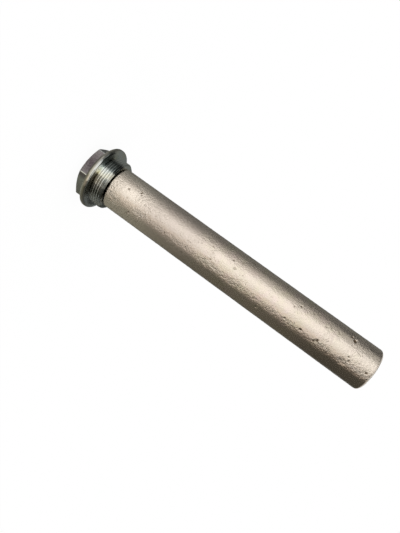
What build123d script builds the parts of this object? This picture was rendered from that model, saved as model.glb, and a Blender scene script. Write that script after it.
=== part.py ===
from build123d import *
from math import radians, tan
import os

# Screw-in rod anode: a plated steel screw plug, a steel core rod screwed into it, and the
# magnesium rod cast round the core. Millimetres, +Z from the plug's head to the rod's free end.
# The origin is the centre of the head's outer face, on which the anode can stand.

# Hexagon head
hex_across_flats = 28.4
hex_height = 6.5
hex_corner_chamfer = 0.8      # from a flat in to the circle where the corner chamfer starts
hex_chamfer_angle = 22        # between the chamfer and the head's outer face

# Collar, which the seal bears on
collar_diameter = 38.5
collar_thickness = 3.5
collar_rim_radius = 1.5

# Threaded shank, a plain cylinder on the thread's major diameter
thread_diameter = 30.0
thread_pitch = 1.5
thread_length = 7.6           # from the collar to the end of the plug
lead_below_root = 0.4         # how far the 45 degree lead chamfer reaches below the thread's root

# Core rod and the blind hole it screws into
core_diameter = 8.0
core_end_chamfer = 0.8
core_clearance = 0.05         # all round the core, in the plug and in the magnesium
hole_depth = 11.0             # full-width part of the blind hole
hole_countersink = 0.6
drill_point_angle = 118
core_end_gap = 0.3            # between the core's end and the start of the drill point

# Magnesium rod
rod_diameter = 24.8
rod_length = 170.0
plug_gap = 0.45               # open gap between the plug and the rod
rod_root_radius = 0.7         # rounded edge beside the plug
rod_tip_radius = 1.6          # rounded edge at the free end
rod_tip_cover = 14.0          # solid magnesium beyond the core's end

# Derived sizes
thread_radius = thread_diameter / 2
lead_chamfer = 0.6134 * thread_pitch + lead_below_root
collar_face = hex_height + collar_thickness
plug_end = collar_face + thread_length
rod_start = plug_end + plug_gap
rod_end = rod_start + rod_length
hole_radius = core_diameter / 2 + core_clearance
hole_bottom = plug_end - hole_depth
core_start = hole_bottom + core_end_gap
core_end = rod_end - rod_tip_cover


def turned(*outline):
    """Solid turned about Z from (radius, height) corners."""
    return revolve(Plane.XZ * make_face(Polyline(*outline, close=True)), Axis.Z)


def hexagon_head():
    """Hexagon whose outer corners are cut by a cone, so each flat ends in an arc."""
    flats = RegularPolygon(hex_across_flats / 2, 6, major_radius=False)
    prism = extrude(flats, hex_height)
    face_radius = hex_across_flats / 2 - hex_corner_chamfer
    corner_radius = face_radius + hex_height / tan(radians(hex_chamfer_angle))
    cone = turned((0, 0), (face_radius, 0), (corner_radius, hex_height), (0, hex_height))
    return prism & cone


def collar():
    """Disc with a rounded rim on both sides."""
    disc = extrude(Plane.XY.offset(hex_height) * Circle(collar_diameter / 2), collar_thickness)
    rim = min(collar_rim_radius, 0.45 * collar_thickness)
    return fillet(disc.edges().filter_by(GeomType.CIRCLE), rim)


def shank():
    """Threaded shank as a cylinder on the crests, chamfered at its lead end."""
    end_radius = thread_radius - lead_chamfer
    return turned(
        (0, collar_face), (thread_radius, collar_face),
        (thread_radius, plug_end - lead_chamfer), (end_radius, plug_end), (0, plug_end),
    )


def core_hole():
    """Blind drilled hole with its drill point and a countersunk mouth."""
    point = hole_radius / tan(radians(drill_point_angle / 2))
    mouth_radius = hole_radius + hole_countersink
    return turned(
        (0, hole_bottom - point), (hole_radius, hole_bottom),
        (hole_radius, plug_end - hole_countersink), (mouth_radius, plug_end), (0, plug_end),
    )


def plug():
    """The whole screw plug, one piece of steel."""
    return hexagon_head() + collar() + shank() - core_hole()


def core_rod():
    """Plain steel rod, chamfered at both ends."""
    rod = extrude(Plane.XY.offset(core_start) * Circle(core_diameter / 2), core_end - core_start)
    return chamfer(rod.edges().filter_by(GeomType.CIRCLE), core_end_chamfer)


def anode_rod():
    """Cast rod with two rounded ends and the core's bore."""
    rod = extrude(Plane.XY.offset(rod_start) * Circle(rod_diameter / 2), rod_length)
    ends = rod.edges().filter_by(GeomType.CIRCLE).sort_by(Axis.Z)
    rod = fillet(ends[-1], rod_tip_radius)
    rod = fillet(rod.edges().filter_by(GeomType.CIRCLE).sort_by(Axis.Z)[0], rod_root_radius)
    bore = extrude(Plane.XY.offset(rod_start) * Circle(hole_radius), core_end - rod_start)
    return rod - bore


os.makedirs("parts", exist_ok=True)
for name, make in {"plug": plug, "core_rod": core_rod, "anode_rod": anode_rod}.items():
    export_step(make(), f"parts/{name}.step")
    print(name, "written")
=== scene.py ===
import math
import random
import bmesh
import bpy
from mathutils import Matrix, Vector, kdtree, noise


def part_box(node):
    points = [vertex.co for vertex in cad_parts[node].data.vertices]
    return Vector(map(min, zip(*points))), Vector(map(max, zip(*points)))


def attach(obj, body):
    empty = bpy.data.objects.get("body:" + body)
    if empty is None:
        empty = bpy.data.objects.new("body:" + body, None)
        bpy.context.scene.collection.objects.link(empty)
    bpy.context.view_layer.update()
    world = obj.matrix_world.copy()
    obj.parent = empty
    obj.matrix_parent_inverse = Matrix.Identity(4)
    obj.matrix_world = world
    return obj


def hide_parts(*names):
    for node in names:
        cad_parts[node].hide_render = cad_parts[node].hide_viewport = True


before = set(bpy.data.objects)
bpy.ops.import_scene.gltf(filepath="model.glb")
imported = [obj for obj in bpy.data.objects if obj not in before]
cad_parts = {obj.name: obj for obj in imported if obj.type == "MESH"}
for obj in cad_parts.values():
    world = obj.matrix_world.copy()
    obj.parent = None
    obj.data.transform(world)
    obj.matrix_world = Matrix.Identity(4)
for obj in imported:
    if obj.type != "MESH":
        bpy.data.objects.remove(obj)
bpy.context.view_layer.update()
scene = bpy.context.scene
mm = 0.001  # lengths are in metres, angles in the dictionaries in degrees
fullTurn = 2 * math.pi
joinDistance = 0.0005 * mm
plugLow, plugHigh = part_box("plug")
rodLow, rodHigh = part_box("anode_rod")
print("frame loaded")


# mesh helpers
def angleOf(vert):
    return math.atan2(vert.co.y, vert.co.x)


def radiusOf(vert):
    return math.hypot(vert.co.x, vert.co.y)


def onCircle(radius, angle, height):
    return Vector((radius * math.cos(angle), radius * math.sin(angle), height))


def setRadius(vert, radius):
    factor = radius / radiusOf(vert)
    vert.co.x *= factor
    vert.co.y *= factor


def roundEdge(centreRadius, centreHeight, size, startAngle, endAngle, count):
    # points of a rounded edge, its angles in degrees from outwards towards up
    angles = [math.radians(startAngle + (endAngle - startAngle) * i / count) for i in range(count + 1)]
    return [(centreRadius + size * math.cos(a), centreHeight + size * math.sin(a)) for a in angles]


def turnOutline(bm, outline, steps, rise=0):
    # spins a run of (radius, height) once round Z, climbing by rise on the way
    verts = [bm.verts.new((radius, 0, height)) for radius, height in outline]
    edges = [bm.edges.new(pair) for pair in zip(verts, verts[1:])]
    bmesh.ops.spin(bm, geom=verts + edges, cent=(0, 0, 0), axis=(0, 0, 1), dvec=(0, 0, rise / steps),
                   angle=fullTurn, steps=steps, use_merge=rise == 0)
    bmesh.ops.remove_doubles(bm, verts=bm.verts, dist=joinDistance)


def pushRim(bm, edges, radius, height):
    # extrudes an open round edge to a new radius and height, which may follow the angle
    made = bmesh.ops.extrude_edge_only(bm, edges=edges)["geom"]
    for vert in [item for item in made if isinstance(item, bmesh.types.BMVert)]:
        angle = angleOf(vert)
        setRadius(vert, radius(angle) if callable(radius) else radius)
        vert.co.z = height(angle) if callable(height) else height
    return [item for item in made if isinstance(item, bmesh.types.BMEdge) and item.is_boundary]


def closeRim(bm, edges, height):
    # draws an open round edge together on the axis
    made = bmesh.ops.extrude_edge_only(bm, edges=edges)["geom"]
    verts = [item for item in made if isinstance(item, bmesh.types.BMVert)]
    for vert in verts:
        vert.co = (0, 0, height)
    bmesh.ops.remove_doubles(bm, verts=verts, dist=joinDistance)


def openEdges(bm, height):
    return [edge for edge in bm.edges if edge.is_boundary
            and all(abs(vert.co.z - height) < joinDistance for vert in edge.verts)]


def bevelEdges(bm, edges, size, segments):
    bmesh.ops.bevel(bm, geom=edges, offset=size, offset_type="OFFSET", segments=segments, profile=0.5,
                    affect="EDGES", material=-1)


def finishPiece(bm, name, material, node, sharpAngle):
    bmesh.ops.recalc_face_normals(bm, faces=bm.faces)
    mesh = bpy.data.meshes.new(name)
    bm.to_mesh(mesh)
    bm.free()
    mesh.polygons.foreach_set("use_smooth", [True] * len(mesh.polygons))
    mesh.set_sharp_from_angle(angle=math.radians(sharpAngle))
    mesh.materials.append(material)
    piece = bpy.data.objects.new(name, mesh)
    scene.collection.objects.link(piece)
    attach(piece, "root")
    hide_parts(node)
    print(name, "has", len(mesh.polygons), "faces")


# material helpers
def addNode(tree, kind, values=None, links=None, **settings):
    made = tree.nodes.new(kind)
    for name, value in settings.items():
        setattr(made, name, value)
    for name, value in (values or {}).items():
        made.inputs[name].default_value = value
    for name, source in (links or {}).items():
        tree.links.new(source, made.inputs[name])
    return made.outputs


def mixColor(tree, factor, first, second):
    # two colours, each a tuple or a socket, in the colour sockets of a Mix node
    mix = addNode(tree, "ShaderNodeMix", links={0: factor}, data_type="RGBA")[0].node
    for socket, color in ((mix.inputs[6], first), (mix.inputs[7], second)):
        if isinstance(color, tuple):
            socket.default_value = (*color, 1)
        else:
            tree.links.new(color, socket)
    return mix.outputs[2]


def spread(tree, source, low, high, newLow=0.0, newHigh=1.0):
    # stretches a value between two new ends, held within them
    ends = {"From Min": low, "From Max": high, "To Min": newLow, "To Max": newHigh}
    return addNode(tree, "ShaderNodeMapRange", ends, {"Value": source})["Result"]


def calculate(tree, operation, first, second=0.0):
    made = addNode(tree, "ShaderNodeMath", operation=operation)
    for socket, value in zip(made[0].node.inputs, (first, second)):
        if isinstance(value, bpy.types.NodeSocket):
            tree.links.new(value, socket)
        else:
            socket.default_value = value
    return made[0]


def product(tree, first, *others):
    for other in others:
        first = calculate(tree, "MULTIPLY", first, other)
    return first


def addShare(tree, first, second, share):
    # the first value and a share of the second
    return calculate(tree, "ADD", first, product(tree, second, share))


def separate(tree, vector):
    return addNode(tree, "ShaderNodeSeparateXYZ", links={"Vector": vector})


def withoutHeight(tree, place):
    # the place moved down to the plane through the origin, and the direction from the axis to it
    flat = addNode(tree, "ShaderNodeVectorMath", {1: (1, 1, 0)}, {0: place}, operation="MULTIPLY")["Vector"]
    return flat, addNode(tree, "ShaderNodeVectorMath", links={0: flat}, operation="NORMALIZE")["Vector"]


def towards(tree, vector, side):
    # how far a vector reaches towards one side
    return addNode(tree, "ShaderNodeVectorMath", {1: side}, {0: vector}, operation="DOT_PRODUCT")["Value"]


def newMaterial(name, metallic, roughness):
    material = bpy.data.materials.new(name)
    material.use_nodes = True
    shader = material.node_tree.nodes["Principled BSDF"]
    shader.inputs["Metallic"].default_value = metallic
    shader.inputs["Roughness"].default_value = roughness
    return material, material.node_tree, shader


def newGroup(name, inputs, outputs):
    tree = bpy.data.node_groups.new(name, "ShaderNodeTree")
    for socket, value in inputs.items():
        kind = "NodeSocketVector" if isinstance(value, tuple) else "NodeSocketFloat"
        made = tree.interface.new_socket(name=socket, in_out="INPUT", socket_type=kind)
        made.default_value = value
    for socket in outputs:
        tree.interface.new_socket(name=socket, in_out="OUTPUT", socket_type="NodeSocketFloat")
    return tree, tree.nodes.new("NodeGroupInput").outputs, tree.nodes.new("NodeGroupOutput").inputs


def useGroup(tree, group, values):
    made = tree.nodes.new("ShaderNodeGroup")
    made.node_tree = group
    for name, value in values.items():
        made.inputs[name].default_value = value
    return made.outputs


def makeMetalGrain():
    # fine crystal grain with soft larger clouds and small specks, for every metal here, sizes in mm
    inputs = {"Grain Size": 1.0, "Cloud Size": 6.0, "Stretch": (1.0, 1.0, 1.0)}
    tree, given, result = newGroup("metalGrain", inputs, ["Grain", "Clouds", "Specks"])
    place = addNode(tree, "ShaderNodeTexCoord")["Object"]
    stretched = addNode(tree, "ShaderNodeVectorMath", operation="DIVIDE")
    tree.links.new(place, stretched[0].node.inputs[0])
    tree.links.new(given["Stretch"], stretched[0].node.inputs[1])
    scales = [calculate(tree, "DIVIDE", 1 / mm, given[size]) for size in ("Grain Size", "Cloud Size")]
    grain = addNode(tree, "ShaderNodeTexNoise", {"Detail": 3.0, "Roughness": 0.6},
                    {"Vector": stretched[0], "Scale": scales[0]})["Fac"]
    clouds = addNode(tree, "ShaderNodeTexNoise", {"Detail": 2.0, "Roughness": 0.5},
                     {"Vector": stretched[0], "Scale": scales[1]})["Fac"]
    specks = addNode(tree, "ShaderNodeTexVoronoi", {"Randomness": 1.0},
                     {"Vector": stretched[0], "Scale": scales[0]})["Distance"]
    tree.links.new(spread(tree, grain, 0.25, 0.75), result["Grain"])
    tree.links.new(spread(tree, clouds, 0.3, 0.7), result["Clouds"])
    tree.links.new(spread(tree, specks, 0.12, 0.3, 1.0, 0.0), result["Specks"])
    return tree


def makeTurnedMarks():
    # rings left by a lathe tool, across faces and along round walls, spacing in mm
    tree, given, result = newGroup("turnedMarks", {"Spacing": 0.2}, ["Rings"])
    parts = separate(tree, addNode(tree, "ShaderNodeTexCoord")["Object"])
    flat = addNode(tree, "ShaderNodeCombineXYZ", links={"X": parts["X"], "Y": parts["Y"]})["Vector"]
    radius = addNode(tree, "ShaderNodeVectorMath", operation="LENGTH")
    tree.links.new(flat, radius[0].node.inputs[0])
    across = addNode(tree, "ShaderNodeCombineXYZ", links={"X": radius["Value"], "Y": parts["Z"]})["Vector"]
    scale = calculate(tree, "DIVIDE", 1 / mm, given["Spacing"])
    rings = addNode(tree, "ShaderNodeTexNoise", {"Detail": 1.0, "Roughness": 0.5},
                    {"Vector": across, "Scale": scale})
    tree.links.new(spread(tree, rings["Fac"], 0.3, 0.7), result["Rings"])
    return tree


metalGrain = makeMetalGrain()
turnedMarks = makeTurnedMarks()

platedLook = {
    "zinc": (0.87, 0.89, 0.84),
    "blueTint": (0.79, 0.85, 0.85),
    "yellowTint": (0.87, 0.83, 0.68),
    "yellowScale": 90.0,
    "roughness": (0.08, 0.18),
    "bumpHeight": 0.008 * mm,
    # dull bar skin on the sides of the hexagon, which ends at this height
    "hexHeight": 6.5 * mm,
    "stockPale": (0.62, 0.64, 0.58),
    "stockDull": (0.46, 0.48, 0.45),
    "stockRoughness": 0.30,
    # a darker, purplish colour on one side of the hexagon, with the place where it is darkest
    "darkerSide": (-0.5, -0.87, 0.0),
    "darkerSideStart": (4 * mm, 7 * mm),
    "darkerSidePale": (0.27, 0.247, 0.243),
    "darkerSideDark": (0.07, 0.05, 0.06),
    "darkestPoint": (0.001, -0.0142, 0.0042),
    "darkestReach": (5 * mm, 15 * mm),
    # painted shade on the collar's face, in the corner beside the thread, on one side of the thread and in
    # its roots
    "faceHeight": 9.8 * mm,
    "faceShadeSide": (0.64, -0.77, 0.0),
    "faceShade": 0.93,
    "cornerShadeSide": (0.92, 0.39, 0.0),
    "cornerShadeEnd": 16.6 * mm,
    "threadShadeSide": (-0.39, -0.92, 0.0),
    "shadeTint": (0.09, 0.115, 0.11),
    "threadShadeStart": (8.5 * mm, 8.9 * mm),
    "rootShade": 0.6,
    "hazeSide": (0.97, 0.26, 0.0),
    "haze": 0.08,
    # a yellow stain on the head side of the collar, partly painted shade that narrows the rim's highlight
    # and deepens on one side, and painted shade in the corner beside the hexagon
    "stain": (0.50, 0.465, 0.365),
    "stainShaded": (0.28, 0.26, 0.22),
    "stainShadedStart": (12 * mm, 18 * mm),
    "stainEnd": 9.35 * mm,
    "paintedShade": (0.13, 0.12, 0.10),
    "hexCornerShadeEnd": 6.9 * mm,
}


def makePlatedSteel(look):
    material, tree, shader = newMaterial("platedSteel", 1.0, 0.25)
    fine = useGroup(tree, metalGrain, {"Grain Size": 0.5, "Cloud Size": 7.0})
    coarse = useGroup(tree, metalGrain, {"Grain Size": 1.1, "Cloud Size": 4.0})
    marks = useGroup(tree, turnedMarks, {"Spacing": 0.22})
    place = addNode(tree, "ShaderNodeTexCoord")["Object"]
    parts = separate(tree, place)
    facing = separate(tree, addNode(tree, "ShaderNodeNewGeometry")["Normal"])
    flat, outwards = withoutHeight(tree, place)

    color = mixColor(tree, fine["Clouds"], look["blueTint"], look["zinc"])
    warm = addNode(tree, "ShaderNodeTexNoise", {"Scale": look["yellowScale"], "Detail": 1.0},
                   {"Vector": place})["Fac"]
    color = mixColor(tree, spread(tree, warm, 0.5, 0.75), color, look["yellowTint"])

    # the sides of the hexagon keep the dull skin of the bar, apart from their worn edges
    onHexagon = spread(tree, parts["Z"], look["hexHeight"], look["hexHeight"] - 0.1 * mm)
    offHexagon = calculate(tree, "SUBTRACT", 1.0, onHexagon)
    sideways = spread(tree, calculate(tree, "ABSOLUTE", facing["Z"]), 0.2, 0.05)
    worn = addNode(tree, "ShaderNodeAttribute", attribute_name="wear")["Fac"]
    unworn = spread(tree, calculate(tree, "ADD", worn, fine["Grain"]), 1.0, 1.4, 1.0, 0.0)
    stock = product(tree, onHexagon, sideways, unworn)
    pale = mixColor(tree, coarse["Grain"], look["stockDull"], look["stockPale"])
    # the skin is darker and purplish on one side, darkest round one point
    away = addNode(tree, "ShaderNodeVectorMath", {1: look["darkestPoint"]}, {0: place},
                   operation="DISTANCE")["Value"]
    away = addShare(tree, away, coarse["Grain"], 5 * mm)
    away = addShare(tree, away, fine["Grain"], 8 * mm)
    paler = spread(tree, away, *look["darkestReach"])
    dark = mixColor(tree, paler, look["darkerSideDark"], look["darkerSidePale"])
    towardsDarkerSide = addShare(tree, towards(tree, place, look["darkerSide"]), coarse["Clouds"], 1.5 * mm)
    skin = mixColor(tree, spread(tree, towardsDarkerSide, *look["darkerSideStart"]), pale, dark)
    color = mixColor(tree, stock, color, skin)

    # painted shade on the collar's face, in uneven patches on one side
    aboveFace = spread(tree, parts["Z"], look["faceHeight"], look["faceHeight"] + 0.05 * mm)
    facingUp = spread(tree, facing["Z"], 0.5, 0.8)
    uneven = product(tree, coarse["Grain"], 0.04)
    nearShadeSide = calculate(tree, "ADD", towards(tree, outwards, look["faceShadeSide"]), uneven)
    onFace = product(tree, aboveFace, facingUp, spread(tree, nearShadeSide, 0.9, 0.96))
    color = mixColor(tree, product(tree, onFace, look["faceShade"]), color, look["paintedShade"])

    # and painted shade in the corner between face and thread, on one side
    radius = addNode(tree, "ShaderNodeVectorMath", links={0: flat}, operation="LENGTH")["Value"]
    radius = addShare(tree, radius, coarse["Grain"], -1.2 * mm)
    inCorner = spread(tree, radius, look["cornerShadeEnd"] - 0.6 * mm, look["cornerShadeEnd"], 0.85, 0.0)
    cornerSide = towards(tree, outwards, look["cornerShadeSide"])
    inCorner = product(tree, inCorner, spread(tree, cornerSide, 0.9, 0.95), aboveFace)
    color = mixColor(tree, inCorner, color, look["shadeTint"])

    # the head side of the collar gets a yellow stain, partly painted shade that narrows the rim's highlight
    # and deepens on one side, with painted shade in the corner beside the hexagon and in the thread roots
    height = addShare(tree, parts["Z"], fine["Grain"], 0.4 * mm)
    stained = spread(tree, height, look["stainEnd"] - 0.4 * mm, look["stainEnd"] + 0.4 * mm, 0.85, 0.0)
    darkSide = spread(tree, towardsDarkerSide, *look["stainShadedStart"])
    stain = mixColor(tree, darkSide, look["stain"], look["stainShaded"])
    color = mixColor(tree, product(tree, stained, offHexagon), color, stain)
    shaded = spread(tree, height, look["hexCornerShadeEnd"] - 0.1 * mm, look["hexCornerShadeEnd"] + 0.3 * mm, 0.9, 0.0)
    inThread = addNode(tree, "ShaderNodeAttribute", attribute_name="threadRootShade")["Fac"]
    shaded = calculate(tree, "MAXIMUM", product(tree, shaded, offHexagon),
                      product(tree, inThread, look["rootShade"]))
    color = mixColor(tree, shaded, color, look["paintedShade"])

    # painted shade on one side of the thread and the rim beside it
    onThread = spread(tree, parts["Z"], *look["threadShadeStart"])
    nearShadeSide = calculate(tree, "ADD", towards(tree, outwards, look["threadShadeSide"]), uneven)
    onThread = product(tree, onThread, spread(tree, nearShadeSide, 0.955, 1.01, 0.0, 0.8),
                       spread(tree, facing["Z"], 0.5, 0.8, 1.0, 0.7))
    color = mixColor(tree, onThread, color, look["shadeTint"])
    tree.links.new(color, shader.inputs["Base Color"])

    haze = spread(tree, towards(tree, outwards, look["hazeSide"]), 0.5, 0.85)
    tree.links.new(spread(tree, haze, 0.0, 1.0, 1.0, 1.0 - look["haze"]), shader.inputs["Metallic"])
    rough = spread(tree, fine["Grain"], 0.0, 1.0, *look["roughness"])
    rough = calculate(tree, "MAXIMUM", rough, product(tree, stock, look["stockRoughness"]))
    tree.links.new(rough, shader.inputs["Roughness"])
    relief = addShare(tree, product(tree, marks["Rings"], 0.6), fine["Grain"], 0.4)
    bump = addNode(tree, "ShaderNodeBump", {"Strength": 0.6, "Distance": look["bumpHeight"]},
                   {"Height": relief})
    tree.links.new(bump["Normal"], shader.inputs["Normal"])
    return material


coreLook = {
    "steel": (0.45, 0.42, 0.38),
    "dark": (0.20, 0.16, 0.13),
    "roughness": (0.35, 0.6),
    "bumpHeight": 0.02 * mm,
}


def makeCoreSteel(look):
    material, tree, shader = newMaterial("coreSteel", 1.0, 0.45)
    fine = useGroup(tree, metalGrain, {"Grain Size": 0.4, "Cloud Size": 5.0, "Stretch": (1.0, 1.0, 4.0)})
    marks = useGroup(tree, turnedMarks, {"Spacing": 0.3})
    tree.links.new(mixColor(tree, fine["Clouds"], look["dark"], look["steel"]), shader.inputs["Base Color"])
    tree.links.new(spread(tree, fine["Grain"], 0.0, 1.0, *look["roughness"]), shader.inputs["Roughness"])
    bump = addNode(tree, "ShaderNodeBump", {"Strength": 0.5, "Distance": look["bumpHeight"]},
                   {"Height": marks["Rings"]})
    tree.links.new(bump["Normal"], shader.inputs["Normal"])
    return material


castLook = {
    "skin": (0.745, 0.66, 0.565),
    "rosy": (0.77, 0.65, 0.58),
    "straw": (0.73, 0.665, 0.52),
    "toneScale": 160.0,
    "roughness": (0.19, 0.32),
    "grainHeight": 0.08 * mm,
    # brighter skin, as painted light near the plug and a paler tone at the tip: where it fades, and how
    # strong it is
    "brighterSkin": (0.86, 0.77, 0.665),
    "plugLightEnd": (38 * mm, 54 * mm, 0.85, 0.0),
    "paleTip": (150 * mm, 184 * mm, 0.0, 0.7),
    # a dull patch part way up
    "dull": (0.67, 0.585, 0.515),
    "dullHeight": 62 * mm,
    "dullReach": (10 * mm, 28 * mm),
    "dullShare": 0.8,
    "dullRoughness": 0.08,
    # a brown stain on one side, growing towards the tip
    "stain": (0.50, 0.40, 0.31),
    "stainSide": (0.875, -0.485, 0.0),
    "stainRise": (110 * mm, 165 * mm, 0.0, 0.7),
    # pits, specks and the sawn end
    "cavity": (0.20, 0.15, 0.10),
    "cavityRoughness": 0.7,
    "specks": 0.12,
    "metallic": 0.96,
    "endMetallic": 0.4,
}


def makeCastMagnesium(look):
    material, tree, shader = newMaterial("castMagnesium", 1.0, 0.3)
    fine = useGroup(tree, metalGrain, {"Grain Size": 0.7, "Cloud Size": 6.0, "Stretch": (1.0, 1.0, 1.3)})
    coarse = useGroup(tree, metalGrain, {"Grain Size": 1.3, "Cloud Size": 5.0})
    place = addNode(tree, "ShaderNodeTexCoord")["Object"]
    parts = separate(tree, place)
    facing = separate(tree, addNode(tree, "ShaderNodeNewGeometry")["Normal"])
    _, outwards = withoutHeight(tree, place)
    tone = addNode(tree, "ShaderNodeTexNoise",
                   {"Scale": look["toneScale"], "Detail": 4.0, "Roughness": 0.65}, {"Vector": place})["Fac"]
    color = mixColor(tree, spread(tree, tone, 0.38, 0.62), look["straw"], look["rosy"])
    color = mixColor(tree, fine["Clouds"], color, look["skin"])

    # painted light near the plug, a paler tone near the tip, one dull patch, and a stain that stays off the
    # sawn end
    nearEnds = calculate(tree, "MAXIMUM", spread(tree, parts["Z"], *look["plugLightEnd"]),
                         spread(tree, parts["Z"], *look["paleTip"]))
    color = mixColor(tree, nearEnds, color, look["brighterSkin"])
    offPatch = calculate(tree, "ABSOLUTE", calculate(tree, "SUBTRACT", parts["Z"], look["dullHeight"]))
    dull = spread(tree, offPatch, *look["dullReach"], 1.0, 0.0)
    color = mixColor(tree, product(tree, dull, look["dullShare"]), color, look["dull"])
    stained = addShare(tree, towards(tree, outwards, look["stainSide"]), fine["Grain"], 0.02)
    stained = product(tree, spread(tree, stained, 0.90, 0.95), spread(tree, parts["Z"], *look["stainRise"]),
                      spread(tree, facing["Z"], 0.3, 0.6, 1.0, 0.0))
    color = mixColor(tree, stained, color, look["stain"])

    # pits and the smallest dark specks
    pits = addNode(tree, "ShaderNodeAttribute", attribute_name="pitDepth")["Fac"]
    roughSkin = addNode(tree, "ShaderNodeAttribute", attribute_name="skinRoughness")["Fac"]
    specks = product(tree, fine["Specks"], roughSkin, look["specks"])
    dark = calculate(tree, "MAXIMUM", pits, specks)
    tree.links.new(mixColor(tree, dark, color, look["cavity"]), shader.inputs["Base Color"])
    rough = spread(tree, fine["Grain"], 0.0, 1.0, *look["roughness"])
    rough = addShare(tree, rough, dull, look["dullRoughness"])
    rough = calculate(tree, "MAXIMUM", rough, product(tree, pits, look["cavityRoughness"]))
    tree.links.new(rough, shader.inputs["Roughness"])

    # the sawn end and its rounded edge are dull
    atEnd = spread(tree, parts["Z"], rodHigh.z - 3 * mm, rodHigh.z - 2 * mm)
    endFace = product(tree, atEnd, spread(tree, facing["Z"], 0.2, 0.5))
    tree.links.new(spread(tree, endFace, 0.0, 1.0, look["metallic"], look["endMetallic"]),
                   shader.inputs["Metallic"])

    # grain, and blowholes too small for the mesh, in patches
    holes = product(tree, coarse["Specks"], spread(tree, coarse["Clouds"], 0.35, 0.7))
    relief = product(tree, calculate(tree, "SUBTRACT", fine["Grain"], holes), roughSkin)
    bump = addNode(tree, "ShaderNodeBump", {"Strength": 1.0, "Distance": look["grainHeight"]},
                   {"Height": relief})
    tree.links.new(bump["Normal"], shader.inputs["Normal"])
    return material


platedSteel = makePlatedSteel(platedLook)
coreSteel = makeCoreSteel(coreLook)
castMagnesium = makeCastMagnesium(castLook)
print("materials made")

# screw plug: thread, collar and hexagon in one closed mesh
plugShape = {
    "acrossFlats": 28.4 * mm,
    "hexHeight": 6.5 * mm,
    "flatToChamfer": 0.8 * mm,
    "chamferAngle": 22,
    "cornerRound": 0.45 * mm,
    "cornerSteps": 4,
    "edgeRound": 0.12 * mm,
    "edgeSteps": 2,
    "flatRows": 9,
    "flatDents": 0.05 * mm,
    "dentSize": 1.5 * mm,
    "collarThickness": 3.5 * mm,
    "rimRadius": 1.5 * mm,
    "rimSteps": 8,
    "ringStart": 0.1 * mm,
    "ringCount": 7,
    "ringDepth": 0.075 * mm,
    "shallowestRing": 0.6,
    "threadRadius": 15.0 * mm,
    "pitch": 1.5 * mm,
    "threadDepth": 0.80 * mm,
    "flankAngle": 60,
    "crestRound": 0.36 * mm,
    "rootRound": 0.14 * mm,
    "runOutSlope": 1.2,
    "leadChamfer": 1.32 * mm,
    "holeRadius": 4.05 * mm,
    "holeDepth": 11.0 * mm,
    "holeBevel": 0.6 * mm,
    "drillPoint": 118,
    "steps": 192,
    "seed": 3,
}


def threadForm(shape):
    # one pitch from root to root as (radius, height), crest and root rounded
    pitch, crestRound, rootRound = shape["pitch"], shape["crestRound"], shape["rootRound"]
    crest, turn = shape["threadRadius"], 90 - shape["flankAngle"] / 2
    rootCentre = crest - shape["threadDepth"] + rootRound
    lower = roundEdge(rootCentre, 0, rootRound, 180, 180 - turn, 2)
    middle = roundEdge(crest - crestRound, pitch / 2, crestRound, -turn, turn, 4)
    upper = roundEdge(rootCentre, pitch, rootRound, 180 + turn, 180, 2)
    return lower + middle + upper[:-1]


def hexagonRadius(acrossFlats):
    # how far out the hexagon reaches at an angle, two of its corners lie on X
    return lambda angle: acrossFlats / 2 / math.cos(angle % (fullTurn / 6) - fullTurn / 12)


def makeThread(bm, shape, bottom, top):
    # a run of the form that is too long at both ends, cut off at bottom and top
    pitch, crest = shape["pitch"], shape["threadRadius"]
    root = crest - shape["threadDepth"]
    start = bottom - 2 * pitch
    turns = math.ceil((top - start) / pitch) + 1
    form = threadForm(shape)
    outline = [(radius, start + turn * pitch + height) for turn in range(turns) for radius, height in form]
    turnOutline(bm, outline, shape["steps"], pitch)
    rootShadeLayer = bm.verts.layers.float.new("threadRootShade")
    for height, direction in ((bottom, -1), (top, 1)):
        bmesh.ops.bisect_plane(bm, geom=bm.verts[:] + bm.edges[:] + bm.faces[:], dist=joinDistance / 10,
                               plane_co=(0, 0, height), plane_no=(0, 0, direction), clear_outer=True)
    # painted shade lies in the lowest third of the form, the roots, then the chamfer and the run-out take
    # off the crests
    for vert in bm.verts:
        lead = crest - shape["leadChamfer"] + max(0, top - vert.co.z)
        runOut = root + max(0, vert.co.z - bottom) * shape["runOutSlope"]
        vert[rootShadeLayer] = min(1, max(0, (crest - radiusOf(vert)) / shape["threadDepth"] * 3 - 2))
        setRadius(vert, min(radiusOf(vert), lead, runOut))


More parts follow.
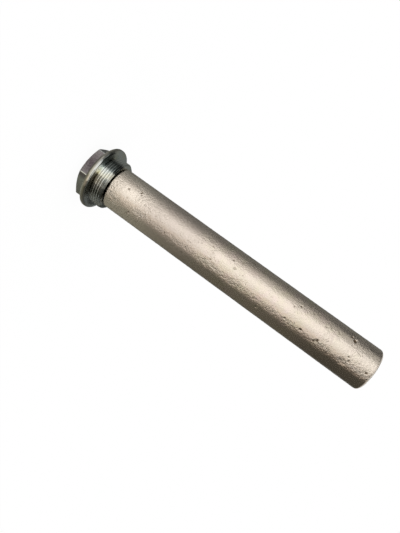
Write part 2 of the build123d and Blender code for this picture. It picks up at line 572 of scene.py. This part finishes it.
def makeHexagon(bm, edges, shape, bottom):
    # from the collar down to the outer face, its corners cut by a cone
    hexagon = hexagonRadius(shape["acrossFlats"])
    faceRadius = shape["acrossFlats"] / 2 - shape["flatToChamfer"]
    slope = math.tan(math.radians(shape["chamferAngle"]))
    edges = pushRim(bm, edges, hexagon, bottom)
    for row in range(1, shape["flatRows"] + 1):
        share = row / shape["flatRows"]
        edges = pushRim(bm, edges, hexagon,
                        lambda angle: bottom + share * ((hexagon(angle) - faceRadius) * slope - bottom))
    edges = pushRim(bm, edges, faceRadius, 0)
    closeRim(bm, edges, 0)

    cornerRadius = hexagon(0) - 0.001 * mm
    offFace = 0.1 * mm
    corners = [edge for edge in bm.edges if min(radiusOf(vert) for vert in edge.verts) > cornerRadius
               and max(vert.co.z for vert in edge.verts) < bottom + joinDistance]
    bevelEdges(bm, corners, shape["cornerRound"], shape["cornerSteps"])
    brim = [edge for edge in bm.edges if edge.is_manifold and edge.calc_face_angle() > math.radians(45)
            and offFace < max(vert.co.z for vert in edge.verts) < bottom / 2]
    bevelEdges(bm, brim, shape["edgeRound"], shape["edgeSteps"])

    # the flats keep small dents, their edges are worn bright
    wearLayer = bm.verts.layers.float.new("wear")
    for vert in bm.verts:
        if offFace < vert.co.z < bottom - joinDistance:
            offFlat = hexagon(angleOf(vert)) - radiusOf(vert)
            if offFlat > joinDistance:
                vert[wearLayer] = 1
            else:
                dent = 0.5 + 0.5 * noise.noise(vert.co / shape["dentSize"])
                setRadius(vert, radiusOf(vert) - dent * shape["flatDents"])


def makePlug(shape):
    collarBottom = shape["hexHeight"]
    collarTop = collarBottom + shape["collarThickness"]
    collarRadius = min(plugHigh.x, plugHigh.y, -plugLow.x, -plugLow.y)
    rim, rimSteps = shape["rimRadius"], shape["rimSteps"]
    chance = random.Random(shape["seed"])
    plugEnd = plugHigh.z
    bm = bmesh.new()
    makeThread(bm, shape, collarTop, plugEnd)

    # the end with its drilled hole for the core
    edges = openEdges(bm, plugEnd)
    hole, bevel = shape["holeRadius"], shape["holeBevel"]
    holeBottom = plugEnd - shape["holeDepth"]
    for radius, height in [(hole + bevel, plugEnd), (hole, plugEnd - bevel), (hole, holeBottom)]:
        edges = pushRim(bm, edges, radius, height)
    closeRim(bm, edges, holeBottom - hole * math.tan(math.radians(90 - shape["drillPoint"] / 2)))

    # the collar's face with its turned rings, then its rim
    edges = openEdges(bm, collarTop)
    innerRadius, outerRadius = shape["threadRadius"] + shape["ringStart"], collarRadius - rim
    pointsPerRing = 6
    count = shape["ringCount"] * pointsPerRing
    for i in range(count):
        if i % pointsPerRing == 0:
            ringDepth = shape["ringDepth"] * chance.uniform(shape["shallowestRing"], 1)
        dip = 0.5 - 0.5 * math.cos(fullTurn * i / pointsPerRing)
        edges = pushRim(bm, edges, innerRadius + (outerRadius - innerRadius) * i / count,
                        collarTop - dip * ringDepth)
    collar = roundEdge(outerRadius, collarTop - rim, rim, 90, 0, rimSteps)
    collar += roundEdge(outerRadius, collarBottom + rim, rim, 0, -90, rimSteps)
    for radius, height in collar:
        edges = pushRim(bm, edges, radius, height)
    makeHexagon(bm, edges, shape, collarBottom)
    finishPiece(bm, "screwPlug", platedSteel, "plug", sharpAngle=32)


makePlug(plugShape)

# cast rod
rodShape = {
    "rootRound": 0.7 * mm,
    "tipRound": 1.6 * mm,
    "boreRadius": 4.05 * mm,
    "tipCover": 14.0 * mm,
    "ringStep": 0.46 * mm,
    "faceRings": 14,
    "steps": 180,
    "waviness": 0.04 * mm,
    "waveSize": 7 * mm,
    "grain": 0.11 * mm,
    "grainSize": Vector((1.0, 1.0, 1.4)) * mm,
    # the skin is rough near the plug and along one side, smooth beside that towards the tip
    "leastRoughness": 0.15,
    "patchSize": 9 * mm,
    "patches": 1.2,
    "strongestPatch": 0.5,
    "roughSide": {"angle": -53, "width": 10, "strength": 1.3},
    "smoothSide": {"angle": -24, "width": 22, "strength": 0.9, "rise": 100 * mm},
    "nearPlug": {"reach": 32 * mm, "strength": 0.35},
    # small pits over the whole rod, sizes in mm and depths as a share of the size
    "smallPits": 150,
    "smallPitSizes": (0.4, 0.75),
    "smallPitDepths": (0.12, 0.3),
    "pitFreeEnds": 2 * mm,
    "darkestPit": 0.18 * mm,
    "raggedPits": 0.35,
    "raggedSize": 0.7 * mm,
    "seed": 11,
}

# single casting pits and dents: height, size and depth in mm, angle in degrees round the rod from +X,
# and how dark the stain in it is
rodPits = [
    {"height": 171.7, "angle": -114, "size": 1.1, "depth": 0.50, "stain": 1.0},
    {"height": 172.3, "angle": -119, "size": 0.8, "depth": 0.20, "stain": 0.0},
    {"height": 169.7, "angle": -120, "size": 0.8, "depth": 0.30, "stain": 1.0},
    {"height": 146.0, "angle": -57, "size": 0.9, "depth": 0.40, "stain": 1.0},
    {"height": 156.0, "angle": -58, "size": 0.8, "depth": 0.38, "stain": 1.0},
    {"height": 154.5, "angle": -52, "size": 0.8, "depth": 0.30, "stain": 0.8},
    {"height": 139.8, "angle": -105, "size": 0.7, "depth": 0.30, "stain": 0.9},
    {"height": 136.3, "angle": -57, "size": 0.7, "depth": 0.28, "stain": 0.8},
    {"height": 171.6, "angle": -53, "size": 2.3, "depth": 0.26, "stain": 0.0},
    {"height": 173.0, "angle": -71, "size": 0.7, "depth": 0.22, "stain": 0.6},
    {"height": 174.1, "angle": -63, "size": 0.8, "depth": 0.26, "stain": 0.6},
    {"height": 121.2, "angle": -35, "size": 1.0, "depth": 0.25, "stain": 0.0},
    {"height": 100.6, "angle": -84, "size": 0.8, "depth": 0.22, "stain": 0.3},
    {"height": 35.2, "angle": -106, "size": 0.6, "depth": 0.24, "stain": 1.0},
    {"height": 35.5, "angle": -101, "size": 0.7, "depth": 0.24, "stain": 1.0},
    {"height": 36.3, "angle": -97, "size": 0.5, "depth": 0.18, "stain": 1.0},
    {"height": 35.3, "angle": -39, "size": 0.7, "depth": 0.26, "stain": 1.0},
    {"height": 24.1, "angle": -41, "size": 2.0, "depth": 0.18, "stain": 0.0},
    {"height": 184.3, "angle": -64, "size": 0.8, "depth": 0.30, "stain": 1.0},
]


def scatterPits(shape, radius, start, end):
    # small shallow pits all over, each as (place, size, depth, stain)
    chance = random.Random(shape["seed"])
    low, high = start + shape["pitFreeEnds"], end - shape["pitFreeEnds"]
    pits = []
    for _ in range(shape["smallPits"]):
        angle, height = chance.uniform(0, fullTurn), chance.uniform(low, high)
        size = chance.uniform(*shape["smallPitSizes"]) * mm
        depth = size * chance.uniform(*shape["smallPitDepths"])
        pits.append((onCircle(radius, angle, height), size, depth, 1))
    return pits


def pitDepth(place, shape, holes, tree):
    # how deep and how stained the surface is at a place, for pits up to the widest reach
    widestReach = 2.5 * mm
    depth = stained = 0
    for _, index, distance in tree.find_range(place, widestReach):
        _, size, deep, stain = holes[index]
        near = distance / size * (1 + shape["raggedPits"] * noise.noise(place / shape["raggedSize"]))
        if near < 1:
            depth += deep * (1 - near * near)
            stained += stain * deep * (1 - near)
    return depth, stained


def onSide(angle, side):
    # the side's strength along its middle, falling to none at its width
    return side["strength"] * max(0, 1 - ((angle - side["angle"]) / side["width"]) ** 2)


def skinRoughness(place, shape, start):
    angle = math.degrees(math.atan2(place.y, place.x))
    height = place.z - start
    limit, nearPlug = shape["strongestPatch"], shape["nearPlug"]
    cloud = shape["patches"] * noise.noise(place / shape["patchSize"] + Vector((5, 0, 0)))
    patch = 1 + min(limit, max(-limit, cloud))
    ridge = onSide(angle, shape["roughSide"])
    plugEnd = nearPlug["strength"] * max(0, 1 - height / nearPlug["reach"])
    smooth = onSide(angle, shape["smoothSide"]) * min(1, height / shape["smoothSide"]["rise"])
    return max(shape["leastRoughness"], patch * (1 + ridge + plugEnd) - smooth)


def makeRod(shape, pits):
    bm = bmesh.new()
    radius = rodHigh.x
    start, end = rodLow.z, rodHigh.z
    root, tip, bore = shape["rootRound"], shape["tipRound"], shape["boreRadius"]
    boreEnd, faceRings = end - shape["tipCover"], shape["faceRings"]
    outline = [(0, boreEnd), (bore, boreEnd), (bore, start)]
    outline += [(bore + (radius - root - bore) * i / faceRings, start) for i in range(1, faceRings)]
    outline += roundEdge(radius - root, start + root, root, -90, 0, 4)
    side = end - start - root - tip
    count = round(side / shape["ringStep"])
    outline += [(radius, start + root + side * i / count) for i in range(1, count)]
    outline += roundEdge(radius - tip, end - tip, tip, 0, 90, 6)
    outline += [((radius - tip) * (1 - i / 2 / faceRings), end) for i in range(1, 2 * faceRings)]
    outline.append((0, end))
    turnOutline(bm, outline, shape["steps"])

    # finer faces round the single pits
    holes = []
    for pit in pits:
        place = onCircle(radius, math.radians(pit["angle"]), pit["height"] * mm)
        holes.append((place, pit["size"] * mm, pit["depth"] * mm, pit["stain"]))
    margin = 0.4 * mm
    near = []
    for edge in bm.edges:
        # judged by its lower end, as which end comes first differs from run to run
        low = min(edge.verts, key=lambda vert: (vert.co.z, angleOf(vert)))
        if radiusOf(low) > radius - tip and any((low.co - place).length < size + margin
                                                for place, size, *_ in holes):
            near.append(edge)
    bmesh.ops.subdivide_edges(bm, edges=near, cuts=2, use_grid_fill=True)
    holes += scatterPits(shape, radius, start, end)
    places = kdtree.KDTree(len(holes))
    for index, hole in enumerate(holes):
        places.insert(hole[0], index)
    places.balance()

    # the skin is sunk along its normals, the bore stays round
    bmesh.ops.recalc_face_normals(bm, faces=bm.faces)
    bm.normal_update()
    pitLayer = bm.verts.layers.float.new("pitDepth")
    roughLayer = bm.verts.layers.float.new("skinRoughness")
    sunk = {}
    for vert in bm.verts:
        if radiusOf(vert) <= bore + 0.1 * mm and vert.co.z < boreEnd + 0.1 * mm:
            continue
        wave = noise.noise(vert.co / shape["waveSize"])
        fine = Vector(a / b for a, b in zip(vert.co, shape["grainSize"]))
        grain = noise.noise(fine) + 0.5 * noise.noise(fine * 2.1)
        pitted, stained = pitDepth(vert.co, shape, holes, places)
        rough = skinRoughness(vert.co, shape, start)
        waves = shape["waviness"] * (0.5 + 0.5 * wave)
        depth = waves + shape["grain"] * rough * max(0, 0.5 + 0.5 * grain) + pitted
        vert[pitLayer] = min(1, stained / shape["darkestPit"])
        vert[roughLayer] = rough
        sunk[vert] = vert.co - vert.normal * depth
    for vert, place in sunk.items():
        vert.co = place
    finishPiece(bm, "castRod", castMagnesium, "anode_rod", sharpAngle=60)


makeRod(rodShape, rodPits)

# the core keeps its own mesh and gets the steel
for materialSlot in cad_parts["core_rod"].material_slots:
    materialSlot.material = coreSteel
print("pieces made")

# a white surround with a floor, and pale and dark flags that only the metal reflects
stageLook = {
    "floorSize": 6.0,
    "shadowShare": 0.05,
    "flagDistance": 0.6,
    "flagStep": 10,
    # azimuths in degrees from +X, elevations in degrees seen from the middle of the object
    "flags": [
        {"azimuths": (-136, -92), "elevations": (50, 80), "color": (0.78, 0.75, 0.69)},
        {"azimuths": (-92, -58), "elevations": (50, 60), "color": (0.40, 0.39, 0.36)},
        {"azimuths": (-92, -58), "elevations": (60, 80), "color": (0.90, 0.88, 0.83)},
        {"azimuths": (-58, -36), "elevations": (50, 60), "color": (0.15, 0.15, 0.14)},
        {"azimuths": (-58, -36), "elevations": (60, 80), "color": (0.78, 0.76, 0.70)},
        {"azimuths": (-36, -16), "elevations": (50, 80), "color": (0.45, 0.44, 0.40)},
        {"azimuths": (-80, -58), "elevations": (32, 50), "color": (0.25, 0.25, 0.24)},
        {"azimuths": (-80, -58), "elevations": (18, 32), "color": (0.90, 0.88, 0.85)},
        {"azimuths": (-136, -124), "elevations": (-27, -6), "color": (0.55, 0.54, 0.52)},
        {"azimuths": (-136, -124), "elevations": (-6, 18), "color": (0.64, 0.62, 0.59)},
        {"azimuths": (-136, -124), "elevations": (18, 50), "color": (0.22, 0.22, 0.21)},
        {"azimuths": (-58, -36), "elevations": (-27, 16), "color": (0.96, 0.88, 0.80)},
        {"azimuths": (-58, -36), "elevations": (16, 32), "color": (0.66, 0.62, 0.57)},
        {"azimuths": (-36, -16), "elevations": (-27, 12), "color": (0.30, 0.265, 0.23)},
        {"azimuths": (-36, -16), "elevations": (12, 32), "color": (0.15, 0.135, 0.12)},
        {"azimuths": (-58, -16), "elevations": (32, 50), "color": (0.05, 0.05, 0.05)},
        {"azimuths": (-16, 75), "elevations": (-38, -16), "color": (0.23, 0.23, 0.19)},
        {"azimuths": (-16, 75), "elevations": (-16, 12), "color": (0.09, 0.085, 0.065)},
        {"azimuths": (-16, 75), "elevations": (12, 45), "color": (0.05, 0.05, 0.04)},
        {"azimuths": (-16, 22), "elevations": (45, 80), "color": (0.12, 0.12, 0.11)},
        {"azimuths": (22, 204), "elevations": (45, 80), "color": (0.02, 0.025, 0.02)},
        {"azimuths": (75, 165), "elevations": (-38, 32), "color": (0.14, 0.145, 0.135)},
        {"azimuths": (75, 204), "elevations": (32, 45), "color": (0.03, 0.03, 0.03)},
        {"azimuths": (165, 204), "elevations": (-38, -16), "color": (0.20, 0.21, 0.20)},
        {"azimuths": (165, 204), "elevations": (-16, 18), "color": (0.13, 0.13, 0.125)},
        {"azimuths": (165, 204), "elevations": (18, 32), "color": (0.03, 0.03, 0.03)},
        {"azimuths": (204, 224), "elevations": (-18, -6), "color": (0.32, 0.31, 0.30)},
        {"azimuths": (204, 224), "elevations": (-6, 32), "color": (0.54, 0.53, 0.51)},
        {"azimuths": (204, 224), "elevations": (32, 80), "color": (0.03, 0.03, 0.03)},
        {"azimuths": (204, 224), "elevations": (-40, -18), "color": (0.38, 0.37, 0.36)},
        {"azimuths": (-136, -92), "elevations": (-40, -27), "color": (0.85, 0.84, 0.82)},
        {"azimuths": (-92, -58), "elevations": (-40, -27), "color": (0.94, 0.92, 0.88)},
        {"azimuths": (-58, -16), "elevations": (-38, -27), "color": (0.50, 0.46, 0.40)},
        {"azimuths": (-156, -58), "elevations": (-65, -40), "color": (0.40, 0.39, 0.37)},
        {"azimuths": (-58, -16), "elevations": (-65, -38), "color": (0.24, 0.24, 0.20)},
        {"azimuths": (-16, 204), "elevations": (-65, -38), "color": (0.38, 0.39, 0.36)},
        {"azimuths": (0, 360), "elevations": (-90, -65), "color": (0.20, 0.20, 0.18)},
        {"azimuths": (0, 360), "elevations": (80, 90), "color": (0.15, 0.15, 0.14)},
    ],
}


def stageObject(name, bm, material):
    mesh = bpy.data.meshes.new(name)
    bm.to_mesh(mesh)
    bm.free()
    mesh.materials.append(material)
    made = bpy.data.objects.new(name, mesh)
    scene.collection.objects.link(made)
    return made


def makeFloor(look):
    # almost plain white to the camera, with a faint shadow of the object
    bm = bmesh.new()
    bmesh.ops.create_grid(bm, x_segments=1, y_segments=1, size=look["floorSize"] / 2)
    material, tree, shader = newMaterial("floorWhite", 0.0, 0.9)
    shader.inputs["Base Color"].default_value = (1, 1, 1, 1)
    shader.inputs["Specular IOR Level"].default_value = 0
    glow = addNode(tree, "ShaderNodeEmission")["Emission"]
    seen = addNode(tree, "ShaderNodeLightPath")["Is Camera Ray"]
    share = calculate(tree, "MULTIPLY", seen, 1 - look["shadowShare"])
    mixed = tree.nodes.new("ShaderNodeMixShader")
    for socket, source in zip(mixed.inputs, (share, shader.outputs["BSDF"], glow)):
        tree.links.new(source, socket)
    tree.links.new(mixed.outputs["Shader"], tree.nodes["Material Output"].inputs["Surface"])
    floor = stageObject("floor", bm, material)
    floor.visible_glossy = False
    floor.visible_shadow = False


def makeFlag(name, bm, color):
    material = bpy.data.materials.new(name)
    material.use_nodes = True
    tree = material.node_tree
    tree.nodes.remove(tree.nodes["Principled BSDF"])
    glow = addNode(tree, "ShaderNodeEmission", {"Color": (*color, 1)})["Emission"]
    tree.links.new(glow, tree.nodes["Material Output"].inputs["Surface"])
    flag = stageObject(name, bm, material)
    flag.visible_camera = False
    flag.visible_diffuse = False
    flag.visible_shadow = False
    flag.visible_transmission = False


def makeFlags(look):
    middle, step = (rodHigh.z + plugLow.z) / 2, look["flagStep"]
    for number, flag in enumerate(look["flags"]):
        low, high = flag["elevations"]
        first, last = flag["azimuths"]
        bm = bmesh.new()
        arc = roundEdge(0, middle, look["flagDistance"], low, high, math.ceil((high - low) / step))
        verts = [bm.verts.new((radius, 0, height)) for radius, height in arc]
        edges = [bm.edges.new(pair) for pair in zip(verts, verts[1:])]
        bmesh.ops.spin(bm, geom=verts + edges, cent=(0, 0, 0), axis=(0, 0, 1), dvec=(0, 0, 0),
                       angle=math.radians(last - first), steps=math.ceil((last - first) / step))
        turn = Matrix.Rotation(math.radians(first), 3, "Z")
        bmesh.ops.rotate(bm, verts=bm.verts, cent=(0, 0, 0), matrix=turn)
        makeFlag(f"flag{number}", bm, flag["color"])


makeFloor(stageLook)
makeFlags(stageLook)
world = bpy.data.worlds.new("whiteSurround")
world.use_nodes = True
world.node_tree.nodes["Background"].inputs["Color"].default_value = (1, 1, 1, 1)
scene.world = world

lampSetup = {
    "azimuth": -95,
    "distance": 0.7,
    "height": -0.04,
    "size": (0.5, 0.7),
    "power": 0.36,
}


def makeLamp(name, setup):
    lamp = bpy.data.lights.new(name, "AREA")
    lamp.shape = "RECTANGLE"
    lamp.size, lamp.size_y = setup["size"]
    lamp.energy = setup["power"]
    lampObject = bpy.data.objects.new(name, lamp)
    place = onCircle(setup["distance"], math.radians(setup["azimuth"]), setup["height"])
    lampObject.location = place
    lampObject.rotation_euler = (Vector((0, 0, setup["height"])) - place).to_track_quat("-Z", "Y").to_euler()
    lampObject.visible_camera = False
    scene.collection.objects.link(lampObject)


makeLamp("softbox", lampSetup)
print("stage and lamp made")

cameraSetup = {
    "place": Vector((67.26, -240.44, 117.55)) * mm,
    "aim": Vector((8.75, -0.86, 83.93)) * mm,
    "roll": 126.14,
    "lens": 30.69,
}


def makeCamera(setup):
    camera = bpy.data.objects.new("camera", bpy.data.cameras.new("camera"))
    camera.data.lens = setup["lens"]
    camera.data.clip_start = 0.01
    camera.location = setup["place"]
    level = (setup["aim"] - setup["place"]).to_track_quat("-Z", "Y").to_matrix()
    camera.rotation_euler = (level @ Matrix.Rotation(math.radians(setup["roll"]), 3, "Z")).to_euler()
    scene.collection.objects.link(camera)
    scene.camera = camera


makeCamera(cameraSetup)
scene.view_settings.view_transform = "Standard"
print("camera placed")
